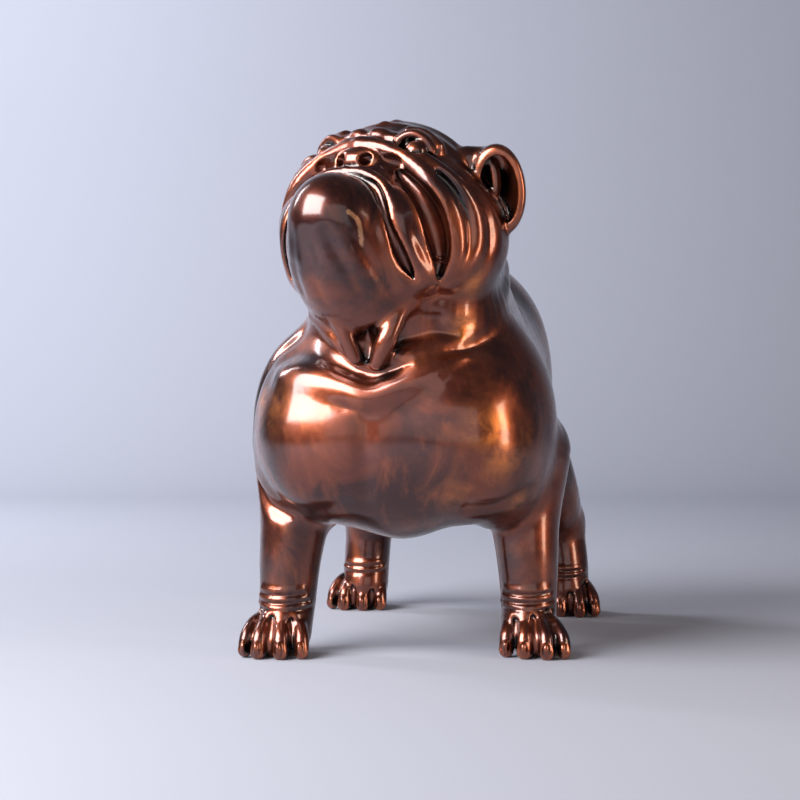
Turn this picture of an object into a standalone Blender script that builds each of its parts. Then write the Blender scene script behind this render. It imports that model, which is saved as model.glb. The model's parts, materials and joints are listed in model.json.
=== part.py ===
"""A life-size English bulldog in cast bronze, standing on its own four paws with its chin held high.

The figure is one casting, so it is one solid. It is modelled as clay would be: rounded masses are
pressed together, then folds are laid on and creases are cut in. Each mass, fold and crease adds to
a distance field, whose zero level is the skin. Lengths in the body's own scale are in thousandths
of a metre on a dog that is 540 high, and the whole figure follows HEIGHT.
"""

import math

import bpy
import numpy as np
from mathutils import Matrix

# Driving sizes, in metres
HEIGHT = 0.540
SKIN_TRIANGLES = 9200

# The body's own scale
DESIGN_HEIGHT = 540.0
UNIT = HEIGHT / DESIGN_HEIGHT
STEP = 4.0

# Pose, in degrees
HEAD_TURN = 19.0
HEAD_LIFT = 36.0

# Places in the body's own scale: X to the dog's left, Y to its tail, Z up
HEAD_AT = (-17, -168, 462)
FRONT_TOES = {"right": -203.0, "left": -144.0}
REAR_TOES = 170.0

FAR = 1.0e3
CELL = 24.0
REACH = 9.0


# Frames

class Frame:
    """A place and a turn, in which part of the figure is modelled."""

    def __init__(self, origin=(0, 0, 0), turn=(0, 0, 0), mirrored=False):
        x, y, z = (math.radians(angle) for angle in turn)
        turned = Matrix.Rotation(z, 3, "Z") @ Matrix.Rotation(y, 3, "Y") @ Matrix.Rotation(x, 3, "X")
        self.origin = np.array(origin, float)
        self.axes = np.array(turned)
        self.mirrored = mirrored

    def mirror(self):
        """The same frame for the other side of a pair: X runs the other way."""
        other = Frame()
        other.origin = self.origin
        other.axes = self.axes
        other.mirrored = not self.mirrored
        return other

    def out(self, points):
        points = np.atleast_2d(np.array(points, float))
        if self.mirrored:
            points = points * (-1, 1, 1)
        return points @ self.axes.T + self.origin

    def axes_of(self, turn):
        """World axes of a shape that is turned inside this frame."""
        x, y, z = (math.radians(angle) for angle in turn)
        own = Matrix.Rotation(z, 3, "Z") @ Matrix.Rotation(y, 3, "Y") @ Matrix.Rotation(x, 3, "X")
        own = np.array(own)
        if self.mirrored:
            flip = np.diag((-1.0, 1.0, 1.0))
            own = flip @ own @ flip
        return self.axes @ own


# Shapes: each returns distances to its skin, and knows the box it lies in

class Ball:
    """An ellipsoid."""

    def __init__(self, frame, at, radii, turn=(0, 0, 0)):
        self.at = frame.out(at)[0]
        self.axes = frame.axes_of(turn)
        self.radii = np.array(radii, float) * np.ones(3)
        half = np.sqrt(((self.axes * self.radii) ** 2).sum(1))
        self.low = self.at - half
        self.high = self.at + half

    def distance(self, points):
        local = (points - self.at) @ self.axes
        scaled = local / self.radii
        far = np.sqrt((scaled ** 2).sum(1)) + 1e-9
        steep = np.sqrt(((scaled / self.radii) ** 2).sum(1)) + 1e-9
        return far * (far - 1.0) / steep


class Tube:
    """A round rope of changing thickness along a smooth curve."""

    def __init__(self, frame, path, radii, steps=4):
        path = frame.out(path)
        radii = np.array(radii, float) * np.ones(len(path))
        line = smooth_line(np.column_stack([path, radii]), steps)
        points = line[:, :3]
        radii = line[:, 3]
        self.low = (points - radii[:, None]).min(0)
        self.high = (points + radii[:, None]).max(0)
        self.start = points[:-1]
        self.along = points[1:] - points[:-1]
        self.length = (self.along ** 2).sum(1) + 1e-9
        self.thick = radii[:-1]
        self.thinner = radii[1:] - radii[:-1]
        self.middle = self.start + self.along / 2
        self.far_end = np.sqrt(self.length) / 2 + np.maximum(radii[1:], radii[:-1])
        self.reach = 0.0

    def distance(self, points):
        centre = (points.min(0) + points.max(0)) / 2
        spread = np.sqrt(((points - centre) ** 2).sum(1).max())
        away = np.sqrt(((self.middle - centre) ** 2).sum(1)) - self.far_end
        near = away < max(spread + self.reach, away.min() + 2 * spread + 1.0)
        start, along, length = self.start[near], self.along[near], self.length[near]
        local = points - centre
        start = start - centre
        dot = local @ along.T - (start * along).sum(1)
        share = np.clip(dot / length, 0, 1)
        apart = (local ** 2).sum(1)[:, None] - 2 * local @ start.T + (start ** 2).sum(1)
        apart = apart - 2 * share * dot + share * share * length
        skin = np.sqrt(np.maximum(apart, 0)) - self.thick[near] - share * self.thinner[near]
        return skin.min(1)


class Shell:
    """The wall of an ellipsoid on one side of a plane, as in an ear."""

    def __init__(self, frame, at, radii, turn, wall, mouth_at, mouth_way):
        self.ball = Ball(frame, at, radii, turn)
        self.wall = wall
        self.mouth = frame.out(mouth_at)[0]
        way = frame.out(np.array(mouth_at) + np.array(mouth_way, float))[0] - self.mouth
        self.way = way / np.linalg.norm(way)
        self.low = self.ball.low - wall
        self.high = self.ball.high + wall

    def distance(self, points):
        skin = np.abs(self.ball.distance(points)) - self.wall / 2
        return soft_max(skin, (points - self.mouth) @ self.way, self.wall * 0.6)


def smooth_line(path, steps):
    """Points on a Catmull-Rom curve through the path."""
    if len(path) < 3:
        return path
    ends = np.vstack([2 * path[0] - path[1], path, 2 * path[-1] - path[-2]])
    line = []
    for i in range(len(path) - 1):
        a, b, c, d = ends[i:i + 4]
        for t in np.arange(steps) / steps:
            line.append(0.5 * (2 * b + (c - a) * t + (2 * a - 5 * b + 4 * c - d) * t ** 2
                               + (3 * b - a - 3 * c + d) * t ** 3))
    line.append(path[-1])
    return np.array(line)


def soft_min(a, b, blend):
    near = np.clip(1 - np.abs(a - b) / max(blend, 1e-6), 0, 1)
    return np.minimum(a, b) - near * near * blend / 4


def soft_max(a, b, blend):
    return -soft_min(-a, -b, blend)


# The clay

class Clay:
    """What has been pressed on and cut away so far, in order."""

    def __init__(self):
        self.strokes = []
        self.boxes = None
        self.cells = {}

    def add(self, shape, blend=12.0):
        def stroke(points, skin):
            return soft_min(skin, shape.distance(points), blend)
        self.keep(stroke, shape, blend)

    def cut(self, shape, blend=6.0):
        def stroke(points, skin):
            return soft_max(skin, -shape.distance(points), blend)
        self.keep(stroke, shape, blend)

    def crease(self, frame, path, depth, width, steps=4, fade=0.0):
        """Sinks the skin along a path by depth, over about width to each side. A negative depth raises it.
        With a fade the ends run out softly."""
        taper = np.ones(len(path))
        taper[[0, -1]] -= fade * width
        line = Tube(frame, path, taper, steps)
        reach = 2.6 * width

        def stroke(points, skin):
            away = np.maximum(line.distance(points) + 1.0, 0.0)
            return skin + depth * np.exp(-(away / width) ** 2)
        self.keep(stroke, line, reach)

    def keep(self, stroke, shape, blend):
        pad = blend + REACH
        shape.reach = pad
        self.strokes.append((stroke, shape.low - pad, shape.high + pad))
        self.boxes = None
        self.cells.clear()

    def everywhere(self, points):
        skin = np.full(len(points), FAR)
        for stroke, _, _ in self.strokes:
            skin = stroke(points, skin)
        return skin

    def distance(self, points):
        """Distance to the skin, exact near it, worked out cell by cell with only the strokes that reach there."""
        cell = np.floor(points / CELL).astype(np.int64)
        key = np.ravel_multi_index((cell - cell.min(0)).T, np.ptp(cell, axis=0) + 1)
        order = np.argsort(key, kind="stable")
        starts = np.flatnonzero(np.diff(key[order], prepend=-1))
        found = np.empty(len(points))
        for some in np.split(order, starts[1:]):
            skin = np.full(len(some), FAR)
            here = points[some]
            for stroke in self.reaching(tuple(cell[some[0]])):
                skin = stroke(here, skin)
            found[some] = skin
        return found

    def reaching(self, cell):
        if cell not in self.cells:
            if self.boxes is None:
                self.boxes = np.array([box[1:] for box in self.strokes])
            low = np.array(cell) * CELL
            near = (self.boxes[:, 0] < low + CELL) & (self.boxes[:, 1] > low)
            self.cells[cell] = [self.strokes[i][0] for i in np.flatnonzero(near.all(1))]
        return self.cells[cell]

    def box(self):
        low = np.min([stroke[1] for stroke in self.strokes], axis=0)
        high = np.max([stroke[2] for stroke in self.strokes], axis=0)
        return low, high


# Casting: the skin of the clay as a mesh

def cast(clay, step, polish=2):
    """A closed mesh of the clay's skin, with faces about one step wide. Returns points and four-sided faces."""
    values, low = sample(clay, step)
    close_pinches(values, -0.05 * step)
    inside = values < 0
    cell_index = np.full(values.shape, -1, np.int32)
    totals = []
    crossings = []
    for axis in range(3):
        first = [slice(None)] * 3
        second = [slice(None)] * 3
        first[axis] = slice(None, -1)
        second[axis] = slice(1, None)
        crossing = np.argwhere(inside[tuple(first)] != inside[tuple(second)])
        step_on = np.eye(3, dtype=int)[axis]
        a = values[tuple(crossing.T)]
        b = values[tuple((crossing + step_on).T)]
        place = crossing + (a / (a - b))[:, None] * step_on
        crossings.append((axis, crossing, a < 0))
        u, v = np.eye(3, dtype=int)[[(axis + 1) % 3, (axis + 2) % 3]]
        for shift in (0 * u, -u, -u - v, -v):
            totals.append((crossing + shift, place))
    cells = np.vstack([cell for cell, _ in totals])
    places = np.vstack([place for _, place in totals])
    flat = np.ravel_multi_index(cells.T, values.shape)
    used, index = np.unique(flat, return_inverse=True)
    counts = np.bincount(index)
    points = np.column_stack([np.bincount(index, weights=places[:, k]) / counts for k in range(3)])
    cell_index.ravel()[used] = np.arange(len(used))
    faces = []
    for axis, crossing, starts_inside in crossings:
        u, v = np.eye(3, dtype=int)[[(axis + 1) % 3, (axis + 2) % 3]]
        ring = np.column_stack([cell_index[tuple((crossing + shift).T)] for shift in (0 * u, -u, -u - v, -v)])
        ring[~starts_inside] = ring[~starts_inside][:, ::-1]
        faces.append(ring)
    points, faces = one_skin(points * step + low, np.vstack(faces))
    return settle(clay, points, polish, step), faces


def one_skin(points, faces):
    """Keeps the largest connected skin, so that no pocket is left shut inside the casting."""
    label = np.arange(len(points))
    while True:
        lowest = label[faces].min(1)
        following = label.copy()
        np.minimum.at(following, faces.ravel(), np.repeat(lowest, 4))
        following = following[following]
        if (following == label).all():
            break
        label = following
    main = np.bincount(label).argmax()
    kept = label == main
    index = np.cumsum(kept) - 1
    return points[kept], index[faces[kept[faces[:, 0]]]]


def sample(clay, step):
    """The clay's distances on a grid, worked out only in the blocks that the skin runs through."""
    side = 4
    low, high = clay.box()
    blocks = np.ceil((high - low) / (side * step)).astype(int) + 1
    corner = np.stack(np.meshgrid(*[np.arange(n) for n in blocks], indexing="ij"), -1).reshape(-1, 3)
    middle = low + (corner + 0.5) * side * step
    rough = clay.distance(middle)
    near = np.abs(rough) < side * step * 1.1 + 4.0
    values = np.repeat(np.repeat(np.repeat(np.sign(rough).reshape(blocks), side, 0), side, 1), side, 2) * FAR
    values = values.astype(np.float32)
    offset = np.stack(np.meshgrid(*[np.arange(side)] * 3, indexing="ij"), -1).reshape(-1, 3)
    spots = (corner[near][:, None, :] * side + offset[None]).reshape(-1, 3)
    values[tuple(spots.T)] = clay.distance(low + spots * step)
    return values, low


def close_pinches(values, filled):
    """Fills the samples at which the skin would touch itself along an edge or at a corner."""
    step_on = np.eye(3, dtype=int)
    while True:
        inside = values < 0
        found = []
        for u, v in ((0, 1), (0, 2), (1, 2)):
            corners = [shifted(inside, a * step_on[u] + b * step_on[v]) for a in (0, 1) for b in (0, 1)]
            for i, j, k, m in ((0, 3, 1, 2), (1, 2, 0, 3)):
                spots = np.argwhere(corners[i] & corners[j] & ~corners[k] & ~corners[m])
                found.append(spots + (k // 2) * step_on[u] + (k % 2) * step_on[v])
        corners = {bits: shifted(inside, bits) for bits in np.ndindex(2, 2, 2)}
        full = sum(corner.astype(np.int8) for corner in corners.values())
        for bits in np.ndindex(1, 2, 2):
            other = tuple(1 - bit for bit in bits)
            apart = corners[bits] & corners[other] & (full == 2)
            found.append(np.argwhere(apart) + (1, bits[1], bits[2]))
            found.append(np.argwhere(apart) + (1, bits[1], other[2]))
            hollow = ~corners[bits] & ~corners[other] & (full == 6)
            found.append(np.argwhere(hollow) + bits)
        found = np.vstack(found)
        if not len(found):
            return
        values[tuple(found.T)] = filled


def shifted(grid, by):
    return grid[tuple(slice(int(n), size - 1 + int(n)) for n, size in zip(by, grid.shape))]


def settle(clay, points, rounds, step):
    """Moves each point along the skin's slope until it lies on the skin."""
    probe = 0.25 * step
    here = clay.distance(points)
    slope = np.column_stack([clay.distance(points + np.eye(3)[k] * probe) - here for k in range(3)]) / probe
    steep = np.maximum((slope ** 2).sum(1), 0.25)[:, None]
    for left in range(rounds, 0, -1):
        move = here[:, None] / steep * slope
        length = np.linalg.norm(move, axis=1)
        points = points - move * np.minimum(1, 0.6 * step / np.maximum(length, 1e-9))[:, None]
        if left > 1:
            here = clay.distance(points)
    return points


# Anatomy

BODY = Frame()
HEAD = Frame(HEAD_AT, (-HEAD_LIFT, 0, -HEAD_TURN))


def both(frame):
    return frame, frame.mirror()


def torso(clay):
    clay.add(Ball(BODY, (-4, -30, 252), (120, 180, 116)))
    clay.add(Ball(BODY, (-12, -140, 236), (112, 100, 112)), 20)
    clay.add(Ball(BODY, (-2, 98, 298), (106, 118, 120)), 40)
    clay.add(Ball(BODY, (-4, -10, 290), (104, 140, 98)), 30)
    clay.add(Ball(BODY, (84, -116, 234), (61, 92, 106)), 24)
    clay.add(Ball(BODY, (-106, -108, 230), (66, 92, 106)), 24)
    for side in both(Frame((-8, 0, 0))):
        clay.add(Ball(side, (58, -176, 224), (78, 66, 86)), 22)
    clay.crease(BODY, [(-92, -148, 336), (-120, -148, 312), (-146, -148, 280), (-158, -146, 240), (-160, -142, 200)],
                6, 12)
    clay.crease(BODY, [(104, -96, 330), (128, -84, 300), (146, -70, 260), (148, -64, 220), (140, -56, 180)], 7, 12)
    clay.add(Ball(BODY, (-2, -166, 198), (54, 60, 71)), 24)
    for side in both(BODY):
        clay.add(Ball(side, (62, 128, 232), (40, 80, 96)), 24)
    clay.add(Tube(BODY, [(0, 196, 330), (4, 222, 322), (10, 226, 302)], [20, 14, 8]), 10)


def front_leg(clay, side, shift, toes):
    axis = np.array([(104, 78, 205), (109, 62, 140), (113, 56, 95), (115, 53, 50), (116, 46, 30)], float)
    clay.add(Tube(side, axis + (shift, toes, 0), [50, 36.5, 31.5, 28.5, 28.5], 12), 14)
    wrist(clay, side, (116 + shift, toes + 54), 29.5, (66, 57.5, 50))


def rear_leg(clay, side, hock, foot):
    clay.add(Tube(side, [(80, 120, 200), (hock - 6, 160, 150), (hock, 208, 108)], [40, 34, 27.5], 12), 16)
    clay.add(Tube(side, [(hock, 208, 108), (foot, 206, 60), (foot + 1, 202, 30)], [27.5, 27, 27], 12), 12)
    clay.add(Ball(side, (hock, 228, 118), (10, 12, 18)), 14)
    clay.add(Ball(side, (hock - 22, 146, 172), (34, 54, 56)), 16)
    clay.add(Ball(side, (hock - 28, 100, 176), (28, 34, 42)), 18)
    wrist(clay, side, (foot, 205), 28, (56, 49))


def wrist(clay, side, at, radius, heights):
    """Skin folds across the front of a leg above the paw."""
    for reach, height in zip((50, 62, 70), heights):
        ring = [(at[0] + radius * math.sin(turn), at[1] - radius * math.cos(turn), height - 4 * math.cos(turn))
                for turn in np.radians(np.linspace(-reach, reach, 7))]
        clay.crease(side, [(x, y, z + 4) for x, y, z in ring], -1.6, 3.6, 2)
        clay.crease(side, ring, 1.8, 2.2, 2)


def paw(clay, side, middle, toes_at, lean, spread=1.0):
    """Four toes with a claw each. The lean moves their roots outwards, against their tips."""
    toes = ((-29, -22, 9, 7.8), (-9, -7, 1, 8.8), (14, 8, 0, 8.8), (30, 20, 8, 7.4))
    toes = [(across * spread, up * spread + lean, back, thick) for across, up, back, thick in toes]
    clay.add(Ball(side, (middle + 2, toes_at + 42, 15), (30 * spread, 32, 21)), 8)
    for across, up, back, thick in toes:
        tip = toes_at + back + thick
        clay.add(Tube(side, [(middle + up, tip + 30, 37), (middle + up * 0.6 + across * 0.4, tip + 16, 32),
                             (middle + up * 0.15 + across * 0.85, tip + 5, 21), (middle + across, tip, 7)],
                      [thick - 2, thick - 0.8, thick, thick]), 2)
    for (across, up, back, _), (onward, up_on, back_on, _) in zip(toes, toes[1:]):
        tip = toes_at + (back + back_on) / 2
        foot = middle + (across + onward) / 2
        top = middle + (up + up_on) / 2
        clay.crease(side, [(top, tip + 38, 46), ((top + foot) / 2, tip + 22, 38), (foot, tip + 8, 23),
                           (foot, tip + 6, 1)], 5.5, 3.2, 3)
    for across, _, back, thick in toes:
        tip = toes_at + back
        clay.cut(Ball(side, (middle + across, tip - 1, 11), (0.66 * thick, 5.5, 9.5), (18, 0, 0)), 1.5)
        clay.add(Ball(side, (middle + across, tip + 4, 9.5), (0.46 * thick, 6.5, 8.5), (18, 0, 0)), 0.5)


def neck(clay):
    clay.add(Tube(BODY, [(-4, -95, 300), (-10, -130, 370), (-14, -145, 420)], [108, 96, 90]), 30)
    clay.add(Tube(BODY, [(-2, -30, 316), (-2, -58, 366), (2, -84, 404)], [92, 86, 80]), 30)
    clay.add(Tube(BODY, [(26, -204, 354), (52, -184, 350), (69, -152, 352), (70, -104, 368)], [20, 25, 23, 16]), 20)
    front = [(-96, -140, 362), (-70, -195, 338), (-36, -219, 311), (-5, -224, 304), (27, -216, 311),
             (66, -186, 328), (84, -140, 356)]
    clay.add(Tube(BODY, front, [6, 9, 9, 9, 9, 9, 6]), 10)
    for rise, back in ((0, 0), (26, -10)):
        nape = [(84, -140, 356), (90, -90, 384), (74, -20 + back, 424), (36, 20 + back, 434), (0, 28 + back, 436),
                (-40, 20 + back, 434), (-80, -20 + back, 422), (-98, -90, 382), (-96, -140, 362)]
        clay.crease(BODY, [(x, y, z + rise) for x, y, z in nape], -4.5, 8)


def dewlap(clay):
    """Loose skin of the throat: two cords with a hollow between them, and softer folds to the dog's left."""
    clay.crease(BODY, [(-80, -194, 344), (-52, -226, 340), (-22, -236, 338), (14, -234, 340), (44, -214, 342)], 5, 7)
    clay.add(Tube(BODY, [(-78, -216, 344), (-54, -231, 324), (-34, -234, 303)], [7, 8.5, 6]), 6)
    clay.add(Tube(BODY, [(-52, -246, 352), (-43, -243, 330), (-32, -238, 303)], [7, 8.5, 6]), 5)
    clay.add(Tube(BODY, [(16, -232, 356), (6, -240, 336), (-2, -242, 318), (-12, -238, 299)], [6, 9, 10, 6.5]), 10)
    clay.add(Tube(BODY, [(-20, -204, 358), (-21, -206, 330), (-21, -214, 304)], [24, 22, 14]), 14)
    clay.crease(BODY, [(-21, -236, 346), (-22, -232, 326), (-21, -230, 306)], 5, 6)
    clay.crease(BODY, [(12, -232, 306), (22, -228, 322), (36, -222, 331), (52, -212, 328), (66, -200, 324)], 3, 6, fade=1.4)


def chest(clay):
    drape = [(-132, -178, 274), (-110, -205, 269), (-74, -224, 266), (-43, -238, 258), (-18, -242, 251),
             (7, -241, 261), (41, -230, 276), (95, -194, 297)]
    clay.crease(BODY, [(x, y, z + 17) for x, y, z in drape], -9, 16, fade=1.3)
    clay.crease(BODY, [(x, y, z - 2) for x, y, z in drape[:5]], 3, 6, fade=1.0)
    clay.crease(BODY, [(-96, -204, 315), (-50, -228, 297), (-16, -236, 288), (20, -232, 298)], 4, 6, fade=1.5)
    clay.crease(BODY, [(-84, -208, 326), (-56, -222, 311), (-34, -228, 301)], 2.5, 4, fade=1.5)
    clay.crease(BODY, [(-23, -242, 244), (-24, -242, 205), (-28, -226, 160)], 4, 9)
    clay.crease(BODY, [(-158, -130, 196), (-146, -160, 162), (-122, -178, 147), (-81, -211, 147), (-46, -226, 156)], 6, 8)
    clay.crease(BODY, [(76, -212, 156), (100, -188, 160), (123, -173, 167), (144, -134, 171), (152, -104, 180)], 6, 8)
    clay.crease(BODY, [(100, -206, 262), (118, -190, 236), (126, -176, 206)], 2.5, 14, fade=1.0)
    clay.crease(BODY, [(-122, -186, 262), (-136, -172, 236), (-140, -160, 206)], 2.5, 14, fade=1.0)


def muzzle(clay, side):
    ridge = [(0, -73, -26), (20, -72, -28), (38, -66, -37), (54, -57, -53), (64, -44, -73), (70, -23, -87),
             (75, 0, -94), (77, 14, -94)]
    clay.add(Tube(side, ridge, [5, 6, 8, 9, 9.5, 9, 7, 5]), 4)
    hollow = np.array([(35, -65, -5), (51, -58, -18), (68, -50, -32), (80, -37, -46), (86, -20, -60),
                       (87, -2, -73), (84, 12, -86)], float)
    clay.cut(Tube(side, hollow, [4, 8, 12.5, 14.5, 14, 10.5, 5]), 5)
    clay.cut(Tube(side, hollow[1:6] + (-6, 8, 6), [5, 9, 10, 10, 7]), 3)
    clay.cut(Tube(side, [(6, -82, -34), (23, -78, -37), (39, -71, -45), (48, -64, -60), (57, -50, -79),
                         (65, -29, -95), (68, -2, -102)], [1.5, 2.5, 4, 5, 5.5, 5.5, 3]), 3)
    clay.crease(side, [(24, -78, -46), (36, -74, -56), (45, -68, -70), (54, -54, -88), (60, -32, -104),
                       (63, -6, -112)], -1.5, 5)


def folds(clay, side):
    roll = [(0, -67, 11), (17, -65, 11), (34, -61, 7), (56, -54, -2), (77, -43, -16), (91, -24, -29),
            (97, -7, -44), (98, 9, -63), (90, 19, -78), (76, 26, -89)]
    clay.add(Tube(side, roll, [10, 10, 9.5, 9.5, 10, 10, 9.5, 8.5, 7, 5]), 4)
    clay.add(Tube(side, [(68, -52, 5), (84, -40, -2), (96, -23, -8), (104, 1, -19), (107, 18, -41),
                         (101, 26, -63), (86, 31, -85)], [5, 6, 7, 7.5, 7.5, 7, 5]), 10)
    clay.crease(side, [(70, -48, -3), (83, -41, -10), (95, -24, -19), (102, -3, -32), (103, 15, -52),
                       (97, 24, -70)], 3.8, 6, fade=1.2)
    clay.crease(side, [(74, -36, 30), (96, -6, 18), (110, 22, -6), (114, 42, -32), (109, 51, -60)], -2.5, 10, fade=1.0)
    clay.crease(side, [(76, -43, 12), (95, -19, 6), (106, 9, -10), (111, 31, -36), (104, 38, -62)], 2.8, 7, fade=1.2)
    clay.crease(side, [(0, -50, 58), (28, -47, 56), (56, -34, 48), (78, -14, 38)], -2, 6)
    clay.crease(side, [(0, -34, 74), (32, -30, 72), (60, -16, 62), (82, 6, 48)], -2, 7)


def eye(clay, side):
    clay.cut(Ball(side, (50, -58, 17), (17, 12, 12)), 3)
    clay.add(Ball(side, (52, -49, 16), (11.5, 11.5, 11.5)), 0.5)
    clay.add(Tube(side, [(32, -58, 15), (36, -60, 25), (48, -59, 31), (60, -52, 28), (67, -44, 19)],
                  [3, 4, 4.5, 4.5, 3]), 2)
    clay.add(Tube(side, [(38, -52, 40), (52, -47, 40), (66, -38, 32)], [6, 6, 6]), 10)


def brow(clay):
    clay.add(Tube(HEAD, [(-42, -50, 26), (-24, -57, 29), (-2, -60, 30), (20, -57, 29), (38, -50, 26)],
                  [6, 9, 9, 9, 6]), 5)
    for x in (-27, -2, 23):
        clay.crease(HEAD, [(x, -68, 18), (x, -69, 29), (x * 1.1, -62, 42)], 4.5, 5)


def nose(clay):
    clay.add(Ball(HEAD, (0, -62, -5), (27, 15, 14)), 3)
    for side in both(HEAD):
        clay.cut(Ball(side, (14, -74, -11), (6.5, 14, 6.5), (37, 0, -10)), 1.2)
        clay.cut(Tube(side, [(30, -73, -12), (36, -66, -8), (45, -58, -6)], [4.5, 7.5, 6]), 2)


def ear(clay, side):
    clay.add(Shell(side, (107, 24, 26), (25, 20, 42), (45, 0, 0), 7, (105, 16, 18), (0.35, -0.66, -0.66)), 5)
    clay.add(Tube(side, [(78, -2, 47), (93, 6, 54), (105, 20, 55)], [12, 9, 6]), 8)
    clay.add(Tube(side, [(91, 4, 51), (101, 12, 44), (103, 24, 30), (99, 32, 16)], [5, 5.5, 5.5, 4]), 4)


def head(clay):
    neck(clay)
    clay.add(Ball(HEAD, (0, 18, 13), (89, 80, 75)), 20)
    for side in both(HEAD):
        clay.add(Ball(side, (63, 4, -32), (42, 58, 58)), 16)
        clay.add(Ball(side, (78, 40, -25), (40, 55, 62)), 16)
        clay.add(Ball(side, (53, -24, -54), (32, 40, 40)), 12)
        clay.add(Ball(side, (57, 8, -82), (30, 30, 30)), 12)
    clay.add(Ball(HEAD, (0, -32, -24), (60, 38, 44)), 12)
    clay.add(Tube(HEAD, [(0, -58, -80), (0, -22, -91), (0, 10, -92)], [42, 57, 62]), 14)
    for side in both(HEAD):
        clay.add(Tube(side, [(10, -46, -78), (14, -14, -81), (18, 16, -78)], [41, 48, 51]), 14)
    clay.add(Ball(HEAD, (0, -67, -75), (42, 41, 41)), 8)
    for path in ([(-30, -88, -108), (-32, -62, -126), (-30, -30, -136)], [(-8, -88, -116), (-4, -58, -132), (0, -24, -142)],
                 [(16, -86, -112), (24, -60, -124), (30, -28, -132)], [(36, -64, -104), (46, -38, -116), (50, -8, -122)]):
        clay.crease(HEAD, path, 2.2, 7)
    for side in both(HEAD):
        muzzle(clay, side)
        folds(clay, side)
        eye(clay, side)
        ear(clay, side)
    brow(clay)
    nose(clay)
    dewlap(clay)


def model(clay):
    torso(clay)
    for side, shift, middle, toes, lean in ((BODY, -1, 126, FRONT_TOES["left"], -8),
                                            (BODY.mirror(), 12, 131, FRONT_TOES["right"], 4)):
        front_leg(clay, side, shift, toes)
        paw(clay, side, middle, toes, lean)
    for side, hock, foot, lean in ((BODY, 101, 108, -6), (BODY.mirror(), 128, 131, 0)):
        rear_leg(clay, side, hock, foot)
        paw(clay, side, foot + 8, REAR_TOES, lean, 0.98)
    head(clay)
    chest(clay)


# Part

def mesh_object(name, points, faces):
    mesh = bpy.data.meshes.new(name)
    mesh.from_pydata([tuple(p) for p in points], [], [tuple(f) for f in faces])
    mesh.validate()
    obj = bpy.data.objects.new(name, mesh)
    bpy.context.scene.collection.objects.link(obj)
    return obj


def bronze():
    """Cast bronze under clear lacquer."""
    material = bpy.data.materials.new("bronze")
    material.use_nodes = True
    surface = material.node_tree.nodes["Principled BSDF"]
    surface.inputs["Base Color"].default_value = (0.30, 0.10, 0.05, 1)
    surface.inputs["Metallic"].default_value = 0.9
    surface.inputs["Roughness"].default_value = 0.28
    return material


def floor_block():
    """The slab that trims the soles flat on the floor."""
    far = 0.5
    corners = [(x, y, z) for z in (-0.1, 0.0) for y in (-far, far) for x in (-far, far)]
    block = mesh_object("sole_cutter", corners, [(0, 2, 3, 1), (4, 5, 7, 6), (0, 1, 5, 4), (2, 6, 7, 3),
                                                 (0, 4, 6, 2), (1, 3, 7, 5)])
    block.display_type = "WIRE"
    block.hide_render = True
    return block


def main():
    for obj in list(bpy.data.objects):
        bpy.data.objects.remove(obj)
    clay = Clay()
    model(clay)
    points, faces = cast(clay, STEP)
    low, high = points.min(0), points.max(0)
    middle = ((low + high) / 2 * (1, 1, 0)) * UNIT
    statue = mesh_object("bulldog", points * UNIT - middle, faces)
    thin = statue.modifiers.new("thin", "DECIMATE")
    thin.ratio = SKIN_TRIANGLES / (2 * len(faces))
    soles = statue.modifiers.new("soles", "BOOLEAN")
    soles.operation = "DIFFERENCE"
    soles.solver = "EXACT"
    soles.object = floor_block()
    statue.data.materials.append(bronze())
    statue.data.shade_smooth()


if __name__ == "__main__":
    main()
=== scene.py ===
"""A life-size bulldog in lacquered bronze, on pale studio paper.

The skin is worked out as the part's is, by pressing rounded masses together and laying folds on them,
but at a finer step. Its patina follows how hollow, raised and worn the skin is; the hollows also carry
painted shade, and the worn places a painted warm highlight.
"""

import json
import math

import bpy
import numpy as np
from mathutils import Matrix, Vector

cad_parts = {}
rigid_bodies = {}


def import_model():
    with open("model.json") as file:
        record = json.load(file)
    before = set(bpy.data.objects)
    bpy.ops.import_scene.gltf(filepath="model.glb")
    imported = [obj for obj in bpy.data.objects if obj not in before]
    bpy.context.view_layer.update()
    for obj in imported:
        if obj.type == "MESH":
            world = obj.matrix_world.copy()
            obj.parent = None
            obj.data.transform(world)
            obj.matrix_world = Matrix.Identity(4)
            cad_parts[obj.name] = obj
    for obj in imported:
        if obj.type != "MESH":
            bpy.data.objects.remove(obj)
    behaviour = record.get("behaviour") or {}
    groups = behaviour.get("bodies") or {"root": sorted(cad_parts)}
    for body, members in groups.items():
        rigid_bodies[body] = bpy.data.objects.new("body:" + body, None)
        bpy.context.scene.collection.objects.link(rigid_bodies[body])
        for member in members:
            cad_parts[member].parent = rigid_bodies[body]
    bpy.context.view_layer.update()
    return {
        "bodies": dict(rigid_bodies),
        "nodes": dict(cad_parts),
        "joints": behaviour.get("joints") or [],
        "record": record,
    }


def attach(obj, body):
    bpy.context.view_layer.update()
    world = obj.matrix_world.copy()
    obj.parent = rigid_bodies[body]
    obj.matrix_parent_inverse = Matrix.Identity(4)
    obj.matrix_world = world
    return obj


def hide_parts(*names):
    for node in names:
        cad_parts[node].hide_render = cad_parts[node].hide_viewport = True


# Height of the figure, in metres
HEIGHT = 0.540

# Height in the figure's own scale, in which all of it is modelled
DESIGN_HEIGHT = 540.0
UNIT = HEIGHT / DESIGN_HEIGHT

# Pose, in degrees
HEAD_TURN = 19.0
HEAD_LIFT = 36.0

# Places in the figure's own scale: X to the dog's left, Y to its tail, Z up
HEAD_AT = (-17, -168, 462)
FRONT_TOES = {"right": -203.0, "left": -144.0}
REAR_TOES = 170.0

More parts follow.
